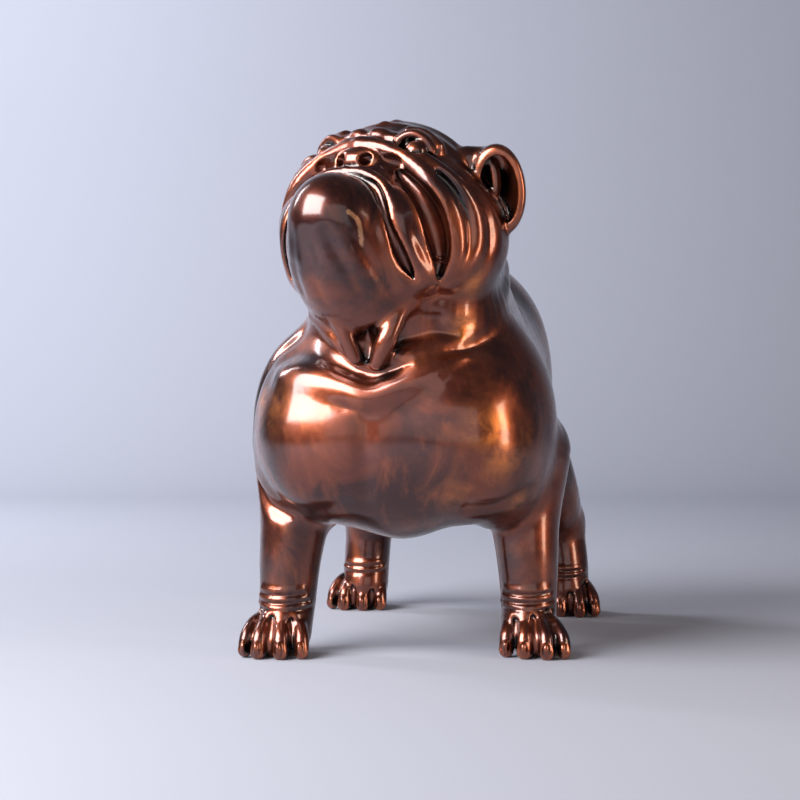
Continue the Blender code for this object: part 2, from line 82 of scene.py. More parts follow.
# How the clay is worked out: a distance that counts as far, the side of a cell, and how far past its
# blend a stroke is still followed
FAR = 1.0e3
CELL = 24.0
REACH = 9.0
CREASE_REACH = 2.6
TUBE_BATCH = 4000

# The mesh: width of a face as cast, and triangles after thinning
FINE_STEP = 2.1
FINE_TRIANGLES = 190000


# Frames

class Frame:
    """A place and a turn, in which part of the figure is modelled."""

    def __init__(self, origin=(0, 0, 0), turn=(0, 0, 0), mirrored=False):
        x, y, z = (math.radians(angle) for angle in turn)
        turned = Matrix.Rotation(z, 3, "Z") @ Matrix.Rotation(y, 3, "Y") @ Matrix.Rotation(x, 3, "X")
        self.origin = np.array(origin, float)
        self.axes = np.array(turned)
        self.mirrored = mirrored

    def mirror(self):
        """The same frame for the other side of a pair: X runs the other way."""
        other = Frame()
        other.origin = self.origin
        other.axes = self.axes
        other.mirrored = not self.mirrored
        return other

    def out(self, points):
        points = np.atleast_2d(np.array(points, float))
        if self.mirrored:
            points = points * (-1, 1, 1)
        return points @ self.axes.T + self.origin

    def axes_of(self, turn):
        """World axes of a shape that is turned inside this frame."""
        x, y, z = (math.radians(angle) for angle in turn)
        own = Matrix.Rotation(z, 3, "Z") @ Matrix.Rotation(y, 3, "Y") @ Matrix.Rotation(x, 3, "X")
        own = np.array(own)
        if self.mirrored:
            flip = np.diag((-1.0, 1.0, 1.0))
            own = flip @ own @ flip
        return self.axes @ own


# Shapes: each returns distances to its skin, and knows the box it lies in

class Ball:
    """An ellipsoid."""

    def __init__(self, frame, at, radii, turn=(0, 0, 0)):
        self.at = frame.out(at)[0]
        self.axes = frame.axes_of(turn)
        self.radii = np.array(radii, float) * np.ones(3)
        half = np.sqrt(((self.axes * self.radii) ** 2).sum(1))
        self.low = self.at - half
        self.high = self.at + half

    def distance(self, points):
        local = (points - self.at) @ self.axes
        scaled = local / self.radii
        far = np.sqrt((scaled ** 2).sum(1)) + 1e-9
        steep = np.sqrt(((scaled / self.radii) ** 2).sum(1)) + 1e-9
        return far * (far - 1.0) / steep


class Tube:
    """A round rope of changing thickness along a smooth curve."""

    def __init__(self, frame, path, radii, steps=4):
        path = frame.out(path)
        radii = np.array(radii, float) * np.ones(len(path))
        line = smooth_line(np.column_stack([path, radii]), steps)
        points = line[:, :3]
        radii = line[:, 3]
        self.low = (points - radii[:, None]).min(0)
        self.high = (points + radii[:, None]).max(0)
        self.start = points[:-1]
        self.along = points[1:] - points[:-1]
        self.length = (self.along ** 2).sum(1) + 1e-9
        self.thick = radii[:-1]
        self.thinner = radii[1:] - radii[:-1]
        self.middle = self.start + self.along / 2
        self.far_end = np.sqrt(self.length) / 2 + np.maximum(radii[1:], radii[:-1])
        self.reach = 0.0

    def distance_all(self, points):
        """The distances of many points, worked out in batches."""
        batches = np.array_split(points, len(points) // TUBE_BATCH + 1)
        return np.concatenate([self.distance(some) for some in batches])

    def distance(self, points):
        centre = (points.min(0) + points.max(0)) / 2
        spread = np.sqrt(((points - centre) ** 2).sum(1).max())
        away = np.sqrt(((self.middle - centre) ** 2).sum(1)) - self.far_end
        near = away < max(spread + self.reach, away.min() + 2 * spread + 1.0)
        start, along, length = self.start[near], self.along[near], self.length[near]
        local = points - centre
        start = start - centre
        dot = local @ along.T - (start * along).sum(1)
        share = np.clip(dot / length, 0, 1)
        apart = (local ** 2).sum(1)[:, None] - 2 * local @ start.T + (start ** 2).sum(1)
        apart = apart - 2 * share * dot + share * share * length
        skin = np.sqrt(np.maximum(apart, 0)) - self.thick[near] - share * self.thinner[near]
        return skin.min(1)


class Shell:
    """The wall of an ellipsoid on one side of a plane, as in an ear."""

    def __init__(self, frame, at, radii, turn, wall, mouth_at, mouth_way):
        self.ball = Ball(frame, at, radii, turn)
        self.wall = wall
        self.mouth = frame.out(mouth_at)[0]
        way = frame.out(np.array(mouth_at) + np.array(mouth_way, float))[0] - self.mouth
        self.way = way / np.linalg.norm(way)
        self.low = self.ball.low - wall
        self.high = self.ball.high + wall

    def distance(self, points):
        skin = np.abs(self.ball.distance(points)) - self.wall / 2
        return soft_max(skin, (points - self.mouth) @ self.way, self.wall * 0.6)


def smooth_line(path, steps):
    """Points on a Catmull-Rom curve through the path."""
    if len(path) < 3:
        return path
    ends = np.vstack([2 * path[0] - path[1], path, 2 * path[-1] - path[-2]])
    line = []
    for i in range(len(path) - 1):
        a, b, c, d = ends[i:i + 4]
        for t in np.arange(steps) / steps:
            line.append(0.5 * (2 * b + (c - a) * t + (2 * a - 5 * b + 4 * c - d) * t ** 2
                               + (3 * b - a - 3 * c + d) * t ** 3))
    line.append(path[-1])
    return np.array(line)


def soft_min(a, b, blend):
    near = np.clip(1 - np.abs(a - b) / max(blend, 1e-6), 0, 1)
    return np.minimum(a, b) - near * near * blend / 4


def soft_max(a, b, blend):
    return -soft_min(-a, -b, blend)


# The clay

class Clay:
    """What has been pressed on and cut away so far, in order."""

    def __init__(self):
        self.strokes = []
        self.boxes = None
        self.cells = {}

    def add(self, shape, blend=12.0):
        def stroke(points, skin):
            return soft_min(skin, shape.distance(points), blend)
        self.keep(stroke, shape, blend)

    def cut(self, shape, blend=6.0):
        def stroke(points, skin):
            return soft_max(skin, -shape.distance(points), blend)
        self.keep(stroke, shape, blend)

    def crease(self, frame, path, depth, width, steps=4, fade=0.0):
        """Sinks the skin along a path by depth, over about width to each side. A negative depth raises it.
        With a fade the ends run out softly."""
        taper = np.ones(len(path))
        taper[[0, -1]] -= fade * width
        line = Tube(frame, path, taper, steps)
        reach = CREASE_REACH * width

        def stroke(points, skin):
            away = np.maximum(line.distance(points) + 1.0, 0.0)
            return skin + depth * np.exp(-(away / width) ** 2)
        self.keep(stroke, line, reach)

    def keep(self, stroke, shape, blend):
        pad = blend + REACH
        shape.reach = pad
        self.strokes.append((stroke, shape.low - pad, shape.high + pad))
        self.boxes = None
        self.cells.clear()

    def distance(self, points):
        """Distance to the skin, exact near it, worked out cell by cell with only the strokes that
        reach there."""
        cell = np.floor(points / CELL).astype(np.int64)
        key = np.ravel_multi_index((cell - cell.min(0)).T, np.ptp(cell, axis=0) + 1)
        order = np.argsort(key, kind="stable")
        starts = np.flatnonzero(np.diff(key[order], prepend=-1))
        found = np.empty(len(points))
        for some in np.split(order, starts[1:]):
            skin = np.full(len(some), FAR)
            here = points[some]
            for stroke in self.reaching(tuple(cell[some[0]])):
                skin = stroke(here, skin)
            found[some] = skin
        return found

    def reaching(self, cell):
        if cell not in self.cells:
            if self.boxes is None:
                self.boxes = np.array([box[1:] for box in self.strokes])
            low = np.array(cell) * CELL
            near = (self.boxes[:, 0] < low + CELL) & (self.boxes[:, 1] > low)
            self.cells[cell] = [self.strokes[i][0] for i in np.flatnonzero(near.all(1))]
        return self.cells[cell]

    def box(self):
        low = np.min([stroke[1] for stroke in self.strokes], axis=0)
        high = np.max([stroke[2] for stroke in self.strokes], axis=0)
        return low, high


# Casting: the skin of the clay as a mesh

def cast(clay, step, polish=2):
    """A closed mesh of the clay's skin, with faces about one step wide.
    Returns points and four-sided faces."""
    values, low = sample(clay, step)
    close_pinches(values, -0.05 * step)
    inside = values < 0
    cell_index = np.full(values.shape, -1, np.int32)
    totals = []
    crossings = []
    for axis in range(3):
        first = [slice(None)] * 3
        second = [slice(None)] * 3
        first[axis] = slice(None, -1)
        second[axis] = slice(1, None)
        crossing = np.argwhere(inside[tuple(first)] != inside[tuple(second)])
        step_on = np.eye(3, dtype=int)[axis]
        a = values[tuple(crossing.T)]
        b = values[tuple((crossing + step_on).T)]
        place = crossing + (a / (a - b))[:, None] * step_on
        crossings.append((axis, crossing, a < 0))
        u, v = np.eye(3, dtype=int)[[(axis + 1) % 3, (axis + 2) % 3]]
        for shift in (0 * u, -u, -u - v, -v):
            totals.append((crossing + shift, place))
    cells = np.vstack([cell for cell, _ in totals])
    places = np.vstack([place for _, place in totals])
    flat = np.ravel_multi_index(cells.T, values.shape)
    used, index = np.unique(flat, return_inverse=True)
    counts = np.bincount(index)
    points = np.column_stack([np.bincount(index, weights=places[:, k]) / counts for k in range(3)])
    cell_index.ravel()[used] = np.arange(len(used))
    faces = []
    for axis, crossing, starts_inside in crossings:
        u, v = np.eye(3, dtype=int)[[(axis + 1) % 3, (axis + 2) % 3]]
        ring = np.column_stack([cell_index[tuple((crossing + shift).T)] for shift in (0 * u, -u, -u - v, -v)])
        ring[~starts_inside] = ring[~starts_inside][:, ::-1]
        faces.append(ring)
    points, faces = one_skin(points * step + low, np.vstack(faces))
    return settle(clay, points, polish, step), faces


def one_skin(points, faces):
    """Keeps the largest connected skin, so that no pocket is left shut inside the casting."""
    label = np.arange(len(points))
    while True:
        lowest = label[faces].min(1)
        following = label.copy()
        np.minimum.at(following, faces.ravel(), np.repeat(lowest, 4))
        following = following[following]
        if (following == label).all():
            break
        label = following
    main = np.bincount(label).argmax()
    kept = label == main
    index = np.cumsum(kept) - 1
    return points[kept], index[faces[kept[faces[:, 0]]]]


def sample(clay, step):
    """The clay's distances on a grid, worked out only in the blocks that the skin runs through."""
    side = 4
    low, high = clay.box()
    blocks = np.ceil((high - low) / (side * step)).astype(int) + 1
    corner = np.stack(np.meshgrid(*[np.arange(n) for n in blocks], indexing="ij"), -1).reshape(-1, 3)
    middle = low + (corner + 0.5) * side * step
    rough = clay.distance(middle)
    near = np.abs(rough) < side * step * 1.1 + 4.0
    values = np.repeat(np.repeat(np.repeat(np.sign(rough).reshape(blocks), side, 0), side, 1), side, 2) * FAR
    values = values.astype(np.float32)
    offset = np.stack(np.meshgrid(*[np.arange(side)] * 3, indexing="ij"), -1).reshape(-1, 3)
    spots = (corner[near][:, None, :] * side + offset[None]).reshape(-1, 3)
    values[tuple(spots.T)] = clay.distance(low + spots * step)
    return values, low


def close_pinches(values, filled):
    """Fills the samples at which the skin would touch itself along an edge or at a corner."""
    step_on = np.eye(3, dtype=int)
    while True:
        inside = values < 0
        found = []
        for u, v in ((0, 1), (0, 2), (1, 2)):
            corners = [shifted(inside, a * step_on[u] + b * step_on[v]) for a in (0, 1) for b in (0, 1)]
            for i, j, k, m in ((0, 3, 1, 2), (1, 2, 0, 3)):
                spots = np.argwhere(corners[i] & corners[j] & ~corners[k] & ~corners[m])
                found.append(spots + (k // 2) * step_on[u] + (k % 2) * step_on[v])
        corners = {bits: shifted(inside, bits) for bits in np.ndindex(2, 2, 2)}
        full = sum(corner.astype(np.int8) for corner in corners.values())
        for bits in np.ndindex(1, 2, 2):
            other = tuple(1 - bit for bit in bits)
            apart = corners[bits] & corners[other] & (full == 2)
            found.append(np.argwhere(apart) + (1, bits[1], bits[2]))
            found.append(np.argwhere(apart) + (1, bits[1], other[2]))
            hollow = ~corners[bits] & ~corners[other] & (full == 6)
            found.append(np.argwhere(hollow) + bits)
        found = np.vstack(found)
        if not len(found):
            return
        values[tuple(found.T)] = filled


def shifted(grid, by):
    return grid[tuple(slice(int(n), size - 1 + int(n)) for n, size in zip(by, grid.shape))]


def settle(clay, points, rounds, step):
    """Moves each point along the skin's slope until it lies on the skin."""
    probe = 0.25 * step
    here = clay.distance(points)
    slope = np.column_stack([clay.distance(points + np.eye(3)[k] * probe) - here for k in range(3)]) / probe
    steep = np.maximum((slope ** 2).sum(1), 0.25)[:, None]
    for left in range(rounds, 0, -1):
        move = here[:, None] / steep * slope
        length = np.linalg.norm(move, axis=1)
        points = points - move * np.minimum(1, 0.6 * step / np.maximum(length, 1e-9))[:, None]
        if left > 1:
            here = clay.distance(points)
    return points


# Anatomy

BODY = Frame()
HEAD = Frame(HEAD_AT, (-HEAD_LIFT, 0, -HEAD_TURN))


def both(frame):
    return frame, frame.mirror()


def torso(clay):
    clay.add(Ball(BODY, (-4, -30, 252), (120, 180, 116)))
    clay.add(Ball(BODY, (-12, -140, 236), (112, 100, 112)), 20)
    clay.add(Ball(BODY, (-2, 98, 298), (106, 118, 120)), 40)
    clay.add(Ball(BODY, (-4, -10, 290), (104, 140, 98)), 30)
    clay.add(Ball(BODY, (84, -116, 234), (61, 92, 106)), 24)
    clay.add(Ball(BODY, (-106, -108, 230), (66, 92, 106)), 24)
    for side in both(Frame((-8, 0, 0))):
        clay.add(Ball(side, (58, -176, 224), (78, 66, 86)), 22)
    clay.crease(BODY, [(-92, -148, 336), (-120, -148, 312), (-146, -148, 280), (-158, -146, 240),
                       (-160, -142, 200)], 6, 12)
    clay.crease(BODY, [(104, -96, 330), (128, -84, 300), (146, -70, 260), (148, -64, 220),
                       (140, -56, 180)], 7, 12)
    clay.add(Ball(BODY, (-2, -166, 198), (54, 60, 71)), 24)
    for side in both(BODY):
        clay.add(Ball(side, (62, 128, 232), (40, 80, 96)), 24)
    clay.add(Tube(BODY, [(0, 196, 330), (4, 222, 322), (10, 226, 302)], [20, 14, 8]), 10)


def front_leg(clay, side, shift, toes):
    axis = np.array([(104, 78, 205), (109, 62, 140), (113, 56, 95), (115, 53, 50), (116, 46, 30)], float)
    clay.add(Tube(side, axis + (shift, toes, 0), [50, 36.5, 31.5, 28.5, 28.5], 12), 14)
    wrist(clay, side, (116 + shift, toes + 54), 29.5, (66, 57.5, 50))


def rear_leg(clay, side, hock, foot):
    clay.add(Tube(side, [(80, 120, 200), (hock - 6, 160, 150), (hock, 208, 108)], [40, 34, 27.5], 12), 16)
    clay.add(Tube(side, [(hock, 208, 108), (foot, 206, 60), (foot + 1, 202, 30)], [27.5, 27, 27], 12), 12)
    clay.add(Ball(side, (hock, 228, 118), (10, 12, 18)), 14)
    clay.add(Ball(side, (hock - 22, 146, 172), (34, 54, 56)), 16)
    clay.add(Ball(side, (hock - 28, 100, 176), (28, 34, 42)), 18)
    wrist(clay, side, (foot, 205), 28, (56, 49))


def wrist(clay, side, at, radius, heights):
    """Skin folds across the front of a leg above the paw."""
    for reach, height in zip((50, 62, 70), heights):
        ring = [(at[0] + radius * math.sin(turn), at[1] - radius * math.cos(turn),
                 height - 4 * math.cos(turn))
                for turn in np.radians(np.linspace(-reach, reach, 7))]
        clay.crease(side, [(x, y, z + 4) for x, y, z in ring], -1.6, 3.6, 2)
        clay.crease(side, ring, 1.8, 2.2, 2)


def paw(clay, side, middle, toes_at, lean, spread=1.0):
    """Four toes with a claw each. The lean moves their roots outwards, against their tips."""
    toes = ((-29, -22, 9, 7.8), (-9, -7, 1, 8.8), (14, 8, 0, 8.8), (30, 20, 8, 7.4))
    toes = [(across * spread, up * spread + lean, back, thick) for across, up, back, thick in toes]
    clay.add(Ball(side, (middle + 2, toes_at + 42, 15), (30 * spread, 32, 21)), 8)
    for across, up, back, thick in toes:
        tip = toes_at + back + thick
        clay.add(Tube(side, [(middle + up, tip + 30, 37), (middle + up * 0.6 + across * 0.4, tip + 16, 32),
                             (middle + up * 0.15 + across * 0.85, tip + 5, 21), (middle + across, tip, 7)],
                      [thick - 2, thick - 0.8, thick, thick]), 2)
    for (across, up, back, _), (onward, up_on, back_on, _) in zip(toes, toes[1:]):
        tip = toes_at + (back + back_on) / 2
        foot = middle + (across + onward) / 2
        top = middle + (up + up_on) / 2
        clay.crease(side, [(top, tip + 38, 46), ((top + foot) / 2, tip + 22, 38), (foot, tip + 8, 23),
                           (foot, tip + 6, 1)], 5.5, 3.2, 3)
    for across, _, back, thick in toes:
        tip = toes_at + back
        clay.cut(Ball(side, (middle + across, tip - 1, 11), (0.66 * thick, 5.5, 9.5), (18, 0, 0)), 1.5)
        clay.add(Ball(side, (middle + across, tip + 4, 9.5), (0.46 * thick, 6.5, 8.5), (18, 0, 0)), 0.5)


def neck(clay):
    clay.add(Tube(BODY, [(-4, -95, 300), (-10, -130, 370), (-14, -145, 420)], [108, 96, 90]), 30)
    clay.add(Tube(BODY, [(-2, -30, 316), (-2, -58, 366), (2, -84, 404)], [92, 86, 80]), 30)
    clay.add(Tube(BODY, [(26, -204, 354), (52, -184, 350), (69, -152, 352), (70, -104, 368)],
                  [20, 25, 23, 16]), 20)
    front = [(-96, -140, 362), (-70, -195, 338), (-36, -219, 311), (-5, -224, 304), (27, -216, 311),
             (66, -186, 328), (84, -140, 356)]
    clay.add(Tube(BODY, front, [6, 9, 9, 9, 9, 9, 6]), 10)
    for rise, back in ((0, 0), (26, -10)):
        nape = [(84, -140, 356), (90, -90, 384), (74, -20 + back, 424), (36, 20 + back, 434),
                (0, 28 + back, 436), (-40, 20 + back, 434), (-80, -20 + back, 422), (-98, -90, 382),
                (-96, -140, 362)]
        clay.crease(BODY, [(x, y, z + rise) for x, y, z in nape], -4.5, 8)


def dewlap(clay):
    """Loose skin of the throat: cords with a hollow between them, and softer folds to the dog's left."""
    clay.crease(BODY, [(-80, -194, 344), (-52, -226, 340), (-22, -236, 338), (14, -234, 340),
                       (44, -214, 342)], 5, 7)
    clay.add(Tube(BODY, [(-78, -216, 344), (-54, -231, 324), (-34, -234, 303)], [7, 8.5, 6]), 6)
    clay.add(Tube(BODY, [(-52, -246, 352), (-43, -243, 330), (-32, -238, 303)], [7, 8.5, 6]), 5)
    clay.add(Tube(BODY, [(16, -232, 356), (6, -240, 336), (-2, -242, 318), (-12, -238, 299)],
                  [6, 9, 10, 6.5]), 10)
    clay.add(Tube(BODY, [(-20, -204, 358), (-21, -206, 330), (-21, -214, 304)], [24, 22, 14]), 14)
    clay.crease(BODY, [(-21, -236, 346), (-22, -232, 326), (-21, -230, 306)], 5, 6)
    clay.crease(BODY, [(12, -232, 306), (22, -228, 322), (36, -222, 331), (52, -212, 328),
                       (66, -200, 324)], 3, 6, fade=1.4)


def chest(clay):
    """The loose fold that hangs across the chest, with the creases above, below and beside it."""
    drape = [(-132, -178, 274), (-110, -205, 269), (-74, -224, 266), (-43, -238, 258), (-18, -242, 251),
             (7, -241, 261), (41, -230, 276), (95, -194, 297)]
    clay.crease(BODY, [(x, y, z + 17) for x, y, z in drape], -9, 16, fade=1.3)
    clay.crease(BODY, [(x, y, z - 2) for x, y, z in drape[:5]], 3, 6, fade=1.0)
    clay.crease(BODY, [(-96, -204, 315), (-50, -228, 297), (-16, -236, 288), (20, -232, 298)], 4, 6, fade=1.5)
    clay.crease(BODY, [(-84, -208, 326), (-56, -222, 311), (-34, -228, 301)], 2.5, 4, fade=1.5)
    clay.crease(BODY, [(-23, -242, 244), (-24, -242, 205), (-28, -226, 160)], 4, 9)
    clay.crease(BODY, [(-158, -130, 196), (-146, -160, 162), (-122, -178, 147), (-81, -211, 147),
                       (-46, -226, 156)], 6, 8)
    clay.crease(BODY, [(76, -212, 156), (100, -188, 160), (123, -173, 167), (144, -134, 171),
                       (152, -104, 180)], 6, 8)
    clay.crease(BODY, [(100, -206, 262), (118, -190, 236), (126, -176, 206)], 2.5, 14, fade=1.0)
    clay.crease(BODY, [(-122, -186, 262), (-136, -172, 236), (-140, -160, 206)], 2.5, 14, fade=1.0)


def muzzle(clay, side):
    """Rim of the flew, the hollow behind it, and the slit of the mouth."""
    ridge = [(0, -73, -26), (20, -72, -28), (38, -66, -37), (54, -57, -53), (64, -44, -73), (70, -23, -87),
             (75, 0, -94), (77, 14, -94)]
    clay.add(Tube(side, ridge, [5, 6, 8, 9, 9.5, 9, 7, 5]), 4)
    hollow = np.array([(35, -65, -5), (51, -58, -18), (68, -50, -32), (80, -37, -46), (86, -20, -60),
                       (87, -2, -73), (84, 12, -86)], float)
    clay.cut(Tube(side, hollow, [4, 8, 12.5, 14.5, 14, 10.5, 5]), 5)
    clay.cut(Tube(side, hollow[1:6] + (-6, 8, 6), [5, 9, 10, 10, 7]), 3)
    clay.cut(Tube(side, [(6, -82, -34), (23, -78, -37), (39, -71, -45), (48, -64, -60), (57, -50, -79),
                         (65, -29, -95), (68, -2, -102)], [1.5, 2.5, 4, 5, 5.5, 5.5, 3]), 3)
    clay.crease(side, [(24, -78, -46), (36, -74, -56), (45, -68, -70), (54, -54, -88), (60, -32, -104),
                       (63, -6, -112)], -1.5, 5)


def folds(clay, side):
    """The roll over the nose and the folds of cheek and forehead."""
    roll = [(0, -67, 11), (17, -65, 11), (34, -61, 7), (56, -54, -2), (77, -43, -16), (91, -24, -29),
            (97, -7, -44), (98, 9, -63), (90, 19, -78), (76, 26, -89)]
    clay.add(Tube(side, roll, [10, 10, 9.5, 9.5, 10, 10, 9.5, 8.5, 7, 5]), 4)
    clay.add(Tube(side, [(68, -52, 5), (84, -40, -2), (96, -23, -8), (104, 1, -19), (107, 18, -41),
                         (101, 26, -63), (86, 31, -85)], [5, 6, 7, 7.5, 7.5, 7, 5]), 10)
    clay.crease(side, [(70, -48, -3), (83, -41, -10), (95, -24, -19), (102, -3, -32), (103, 15, -52),
                       (97, 24, -70)], 3.8, 6, fade=1.2)
    clay.crease(side, [(74, -36, 30), (96, -6, 18), (110, 22, -6), (114, 42, -32), (109, 51, -60)],
                -2.5, 10, fade=1.0)
    clay.crease(side, [(76, -43, 12), (95, -19, 6), (106, 9, -10), (111, 31, -36), (104, 38, -62)],
                2.8, 7, fade=1.2)
    clay.crease(side, [(0, -50, 58), (28, -47, 56), (56, -34, 48), (78, -14, 38)], -2, 6)
    clay.crease(side, [(0, -34, 74), (32, -30, 72), (60, -16, 62), (82, 6, 48)], -2, 7)


def eye(clay, side):
    clay.cut(Ball(side, (50, -58, 17), (17, 12, 12)), 3)
    clay.add(Ball(side, (52, -49, 16), (11.5, 11.5, 11.5)), 0.5)
    clay.add(Tube(side, [(32, -58, 15), (36, -60, 25), (48, -59, 31), (60, -52, 28), (67, -44, 19)],
                  [3, 4, 4.5, 4.5, 3]), 2)
    clay.add(Tube(side, [(38, -52, 40), (52, -47, 40), (66, -38, 32)], [6, 6, 6]), 10)


def brow(clay):
    clay.add(Tube(HEAD, [(-42, -50, 26), (-24, -57, 29), (-2, -60, 30), (20, -57, 29), (38, -50, 26)],
                  [6, 9, 9, 9, 6]), 5)
    for x in (-27, -2, 23):
        clay.crease(HEAD, [(x, -68, 18), (x, -69, 29), (x * 1.1, -62, 42)], 4.5, 5)


def nose(clay):
    clay.add(Ball(HEAD, (0, -62, -5), (27, 15, 14)), 3)
    for side in both(HEAD):
        clay.cut(Ball(side, (14, -74, -11), (6.5, 14, 6.5), (37, 0, -10)), 1.2)
        clay.cut(Tube(side, [(30, -73, -12), (36, -66, -8), (45, -58, -6)], [4.5, 7.5, 6]), 2)


def ear(clay, side):
    clay.add(Shell(side, (107, 24, 26), (25, 20, 42), (45, 0, 0), 7, (105, 16, 18), (0.35, -0.66, -0.66)), 5)
    clay.add(Tube(side, [(78, -2, 47), (93, 6, 54), (105, 20, 55)], [12, 9, 6]), 8)
    clay.add(Tube(side, [(91, 4, 51), (101, 12, 44), (103, 24, 30), (99, 32, 16)], [5, 5.5, 5.5, 4]), 4)


def head(clay):
    neck(clay)
    clay.add(Ball(HEAD, (0, 18, 13), (89, 80, 75)), 20)
    for side in both(HEAD):
        clay.add(Ball(side, (63, 4, -32), (42, 58, 58)), 16)
        clay.add(Ball(side, (78, 40, -25), (40, 55, 62)), 16)
        clay.add(Ball(side, (53, -24, -54), (32, 40, 40)), 12)
        clay.add(Ball(side, (57, 8, -82), (30, 30, 30)), 12)
    clay.add(Ball(HEAD, (0, -32, -24), (60, 38, 44)), 12)
    clay.add(Tube(HEAD, [(0, -58, -80), (0, -22, -91), (0, 10, -92)], [42, 57, 62]), 14)
    for side in both(HEAD):
        clay.add(Tube(side, [(10, -46, -78), (14, -14, -81), (18, 16, -78)], [41, 48, 51]), 14)
    clay.add(Ball(HEAD, (0, -67, -75), (42, 41, 41)), 8)
    for path in ([(-30, -88, -108), (-32, -62, -126), (-30, -30, -136)],
                 [(-8, -88, -116), (-4, -58, -132), (0, -24, -142)],
                 [(16, -86, -112), (24, -60, -124), (30, -28, -132)],
                 [(36, -64, -104), (46, -38, -116), (50, -8, -122)]):
        clay.crease(HEAD, path, 2.2, 7)
    for side in both(HEAD):
        muzzle(clay, side)
        folds(clay, side)
        eye(clay, side)
        ear(clay, side)
    brow(clay)
    nose(clay)
    dewlap(clay)


def model(clay):
    torso(clay)
    for side, shift, middle, toes, lean in ((BODY, -1, 126, FRONT_TOES["left"], -8),
                                            (BODY.mirror(), 12, 131, FRONT_TOES["right"], 4)):
        front_leg(clay, side, shift, toes)
        paw(clay, side, middle, toes, lean)
    for side, hock, foot, lean in ((BODY, 101, 108, -6), (BODY.mirror(), 128, 131, 0)):
        rear_leg(clay, side, hock, foot)
        paw(clay, side, foot + 8, REAR_TOES, lean, 0.98)
    head(clay)
    chest(clay)


def mesh_object(name, points, faces):
    mesh = bpy.data.meshes.new(name)
    mesh.from_pydata([tuple(p) for p in points], [], [tuple(f) for f in faces])
    mesh.validate()
    obj = bpy.data.objects.new(name, mesh)
    bpy.context.scene.collection.objects.link(obj)
    return obj


# Statue

# Rubbed places on the figure, partly real wear and partly a painted warm highlight: where, how wide, how
# strong
WEAR_AND_SHEEN_PLACES = [((98, -227, 235), 20, 0.9), ((104, -214, 208), 22, 0.7), ((127, -194, 224), 15, 0.6),
               ((119, -166, 156), 13, 1.0), ((79, -207, 376), 12, 0.9), ((66, -201, 334), 13, 1.0),
               ((-143, -187, 259), 17, 0.9), ((-120, -212, 250), 24, 0.4), ((66, -226, 168), 22, 0.25)]

# The pale run on the chin, as a path in the head's frame
DRIP = [(34, -88, -89), (38, -84, -90), (41, -77, -92), (42, -68, -100), (42, -60, -107)]
DRIP_WIDTH = 2.8

# How far off the skin it is looked for narrow hollows and wide ones, which are darkened as patina and as
# painted shade, and how far in for ridges
NARROW_HOLLOW = 5.0
WIDE_HOLLOW = 16.0
RIDGE = 4.0


def thinned(obj, triangles):
    """The same skin with fewer triangles, as a plain mesh."""
    thin = obj.modifiers.new("thin", "DECIMATE")
    thin.ratio = triangles / sum(len(face.vertices) - 2 for face in obj.data.polygons)
    shown = bpy.context.evaluated_depsgraph_get()
    obj.data = bpy.data.meshes.new_from_object(obj.evaluated_get(shown))
    obj.modifiers.remove(thin)


def slopes(clay, points):
    """The way straight out of the skin at each point."""
    here = clay.distance(points)
    slope = np.column_stack([clay.distance(points + np.eye(3)[k]) - here for k in range(3)])
    return slope / np.maximum(np.linalg.norm(slope, axis=1), 1e-6)[:, None]


def nearness(points, frame, path, spread):
    """One on a path through the frame, and falling off beside it."""
    away = np.maximum(Tube(frame, path, np.ones(len(path))).distance_all(points) + 1.0, 0.0)
    return np.exp(-(away / spread) ** 2)


def skin_marks(clay, points, mesh):
    """How hollow, how raised and how worn the skin is at each point, for the patina to follow. The hollow
    mark also paints shade, and the worn mark a warm highlight.
    """
    out = slopes(clay, points)
    # The hollow mark: dark patina in the crevices and painted shade in the hollows, most in the wider ones
    narrow = 1 - np.clip(clay.distance(points + out * NARROW_HOLLOW) / NARROW_HOLLOW, 0, 1)
    wide = 1 - np.clip(clay.distance(points + out * WIDE_HOLLOW) / WIDE_HOLLOW, 0, 1)
    ridge = 1 - np.clip(-clay.distance(points - out * RIDGE) / RIDGE, 0, 1)
    # The worn places: partly rubbed metal, partly a painted warm highlight
    wear_and_sheen = np.zeros(len(points))
    for place, spread, strength in WEAR_AND_SHEEN_PLACES:
        away = np.linalg.norm(points - place, axis=1)
        wear_and_sheen = np.maximum(wear_and_sheen, strength * np.exp(-(away / spread) ** 2))
    marks = {"hollow": np.clip(0.6 * narrow + 0.7 * wide, 0, 1), "ridge": ridge, "wear_and_sheen": wear_and_sheen,
             "drip": nearness(points, HEAD, DRIP, DRIP_WIDTH)}
    for name, values in marks.items():
        layer = mesh.attributes.new(name, "FLOAT", "POINT")
        layer.data.foreach_set("value", values.astype(np.float32))


def cast_statue():
    """The figure in its final place, and the middle that it was moved from."""
    clay = Clay()
    model(clay)
    points, faces = cast(clay, FINE_STEP)
    middle = (points.min(0) + points.max(0)) / 2 * (1, 1, 0)
    statue = mesh_object("bronze_bulldog", points * UNIT, faces)
    thinned(statue, FINE_TRIANGLES)
    mesh = statue.data
    flat = np.empty(len(mesh.vertices) * 3)
    mesh.vertices.foreach_get("co", flat)
    points = flat.reshape(-1, 3) / UNIT
    skin_marks(clay, points, mesh)
    points[:, 2] = np.maximum(points[:, 2], 0)
    mesh.vertices.foreach_set("co", ((points - middle) * UNIT).ravel())
    mesh.shade_smooth()
    mesh.update()
    return statue, middle * UNIT


# Patina

